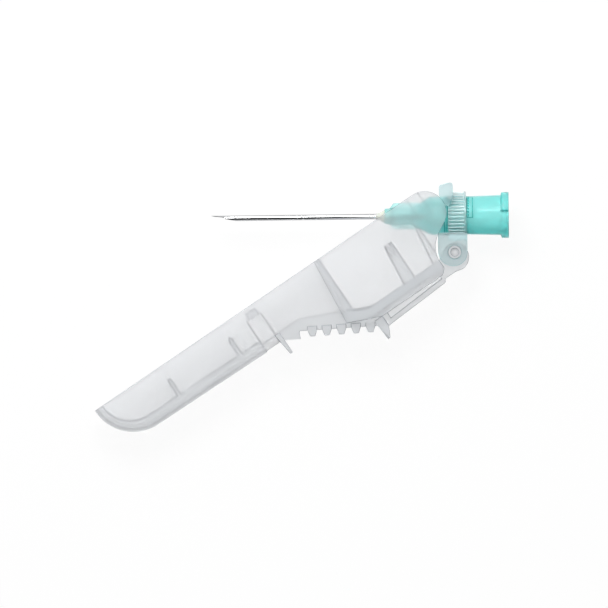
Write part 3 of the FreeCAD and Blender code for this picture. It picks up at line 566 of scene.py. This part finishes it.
def adhesive_points():
    """A closed profile turned about the axis. On the free surface the radius grows from the
    tip's to the bead's by a power of the distance from the tip."""
    share = np.linspace(0, 1, CONE_ROWS)
    cone_x = bead_low[0] + (NOSE_X - bead_low[0]) * share
    cone_r = BEAD_BORE + LIP + (BEAD_RADIUS - BEAD_BORE - LIP) * share ** CLIMB
    well_x = np.linspace(NOSE_X, bead_high[0], WALL_ROWS)
    bore_x = np.linspace(bead_high[0], bead_low[0], WALL_ROWS)
    x = np.concatenate([cone_x, well_x, bore_x])[:, None]
    radius = np.concatenate([cone_r, np.full(WALL_ROWS, WELL_RADIUS),
                             np.full(WALL_ROWS, BEAD_BORE)])[:, None]
    angle = np.linspace(0, 2 * math.pi, BEAD_COLUMNS, endpoint=False)[None, :]
    y, z = radius * np.cos(angle), radius * np.sin(angle)
    return np.stack(np.broadcast_arrays(x, y, z), axis=-1)


adhesive = ring_grid("adhesive_cone", adhesive_points(), "hub", cream_resin)
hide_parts("adhesive_bead")

# %% [markdown]
# ## The floor
#
# The picture's ground is plain white. More light would reach white too, but it would wash
# out the object. So the floor is pale, and to rays from the camera, from gloss and through
# the plastic it adds just enough glow to reach white. Its shading keeps the object's soft
# shadow.

# %% Floor
GLOW_SHARE = 0.94
FLOOR_GREY = 0.9
FLOOR_SIZE = 2.0


def floor_material():
    """White to the eye, a pale matt floor to the light."""
    material, output = new_material("floor_white")
    path = node(material, "LightPath")
    glossy = node(material, "Math", {0: path.outputs["Is Camera Ray"],
                                     1: path.outputs["Is Glossy Ray"]}, operation="MAXIMUM")
    seen = node(material, "Math", {0: glossy.outputs["Value"],
                                   1: path.outputs["Is Transmission Ray"]}, operation="MAXIMUM")
    matt = node(material, "BsdfDiffuse", {"Color": grey(FLOOR_GREY)})
    glow = node(material, "Emission", {"Color": (1, 1, 1, 1), "Strength": 1.0})
    share = node(material, "Math", {0: seen.outputs["Value"], 1: GLOW_SHARE},
                 operation="MULTIPLY")
    mixed = node(material, "MixShader", {"Fac": share.outputs["Value"],
                                         1: matt.outputs["BSDF"], 2: glow.outputs["Emission"]})
    material.node_tree.links.new(mixed.outputs["Shader"], output.inputs["Surface"])
    return material


def plane(name, size, z, material):
    """A square of this size, centred under the camera."""
    half = size / 2
    x, y = camera_place()
    mesh = bpy.data.meshes.new(name)
    mesh.from_pydata([(x - half, y - half, z), (x + half, y - half, z),
                      (x + half, y + half, z), (x - half, y + half, z)], [], [(0, 1, 2, 3)])
    mesh.materials.append(material)
    made = bpy.data.objects.new(name, mesh)
    bpy.context.scene.collection.objects.link(made)
    return made


floor = plane("floor", FLOOR_SIZE, cad_box[0][2], floor_material())
print("floor at z", round(cad_box[0][2], 5))

# %% [markdown]
# ## The room
#
# A polished tube shows the room as stripes: what is overhead in its middle, the floor at
# its two edges. The photograph's tube is white above the middle and dark below it, so the
# room is bright towards +Y and dark towards -Y. The world's colour is a ramp on the Y of
# the direction that a ray takes. Rays that come through the plastic see the white ground
# instead, a little greyer near the horizon, which draws the thin grey lines along edges.

# %% The room
world = bpy.data.worlds.new("studio")
bpy.context.scene.world = world
world.use_nodes = True
world.node_tree.nodes.clear()


class Room:
    """Lets the node helpers write into the world's tree as they do into a material's."""
    node_tree = world.node_tree


way = node(Room, "TexCoord").outputs["Generated"]
across = node(Room, "SeparateXYZ", {"Vector": way}).outputs["Y"]
level = node(Room, "MapRange", {"Value": across, "From Min": -1.0}).outputs["Result"]
room_tone = ramp(Room, level, [(0.0, grey(0.35)), (0.1, grey(0.04)), (0.42, grey(0.04)),
                               (0.55, grey(0.4)), (0.70, grey(1.0)), (0.88, grey(1.0)),
                               (1.0, grey(0.5))])
height = node(Room, "SeparateXYZ", {"Vector": way}).outputs["Z"]
through_tone = ramp(Room, height, [(0.0, grey(0.55)), (0.35, grey(0.95)), (1.0, grey(0.95))])
passed = node(Room, "LightPath").outputs["Is Transmission Ray"]
tone = node(Room, "MixRGB", {"Fac": passed, "Color1": room_tone, "Color2": through_tone})
background = node(Room, "Background", {"Color": tone.outputs["Color"], "Strength": 1.0})
room_output = node(Room, "OutputWorld", {"Surface": background.outputs["Background"]})
print("room:", room_output.name)

# %% [markdown]
# ## The lamp
#
# The shadow in the photograph is faint and falls below the object, so one soft lamp stands
# high on the far side. It also puts the bright spots on the collar's ribs. A second lamp
# overhead would wash out the pale ears and the sheath, so there is none.

# %% Lamp
KEY_PLACE = (-0.08, 0.16, 0.22)
KEY_AIM = (-0.031, -0.0135, 0.0)  # the middle of the object
KEY_SIZE = 0.12
KEY_WATTS = 0.8


def area_lamp(name, location, aim, size, power):
    """A square lamp at a place, turned towards another."""
    data = bpy.data.lights.new(name, "AREA")
    data.size = size
    data.energy = power
    lamp = bpy.data.objects.new(name, data)
    lamp.location = location
    x, y, z = (b - a for a, b in zip(location, aim))
    lamp.rotation_euler = (math.atan2(math.hypot(x, y), -z), 0, math.atan2(y, x) - math.pi / 2)
    bpy.context.scene.collection.objects.link(lamp)
    return lamp


key = area_lamp("key", KEY_PLACE, KEY_AIM, KEY_SIZE, KEY_WATTS)
print("lamp:", key.name, key.data.energy)

# %% [markdown]
# ## Colours as written
#
# A filmic view would bend the whites towards grey. The Standard view shows each colour as it
# is written, which a white ground needs.

# %% View settings
bpy.context.scene.view_settings.view_transform = "Standard"
print("view:", bpy.context.scene.view_settings.view_transform)
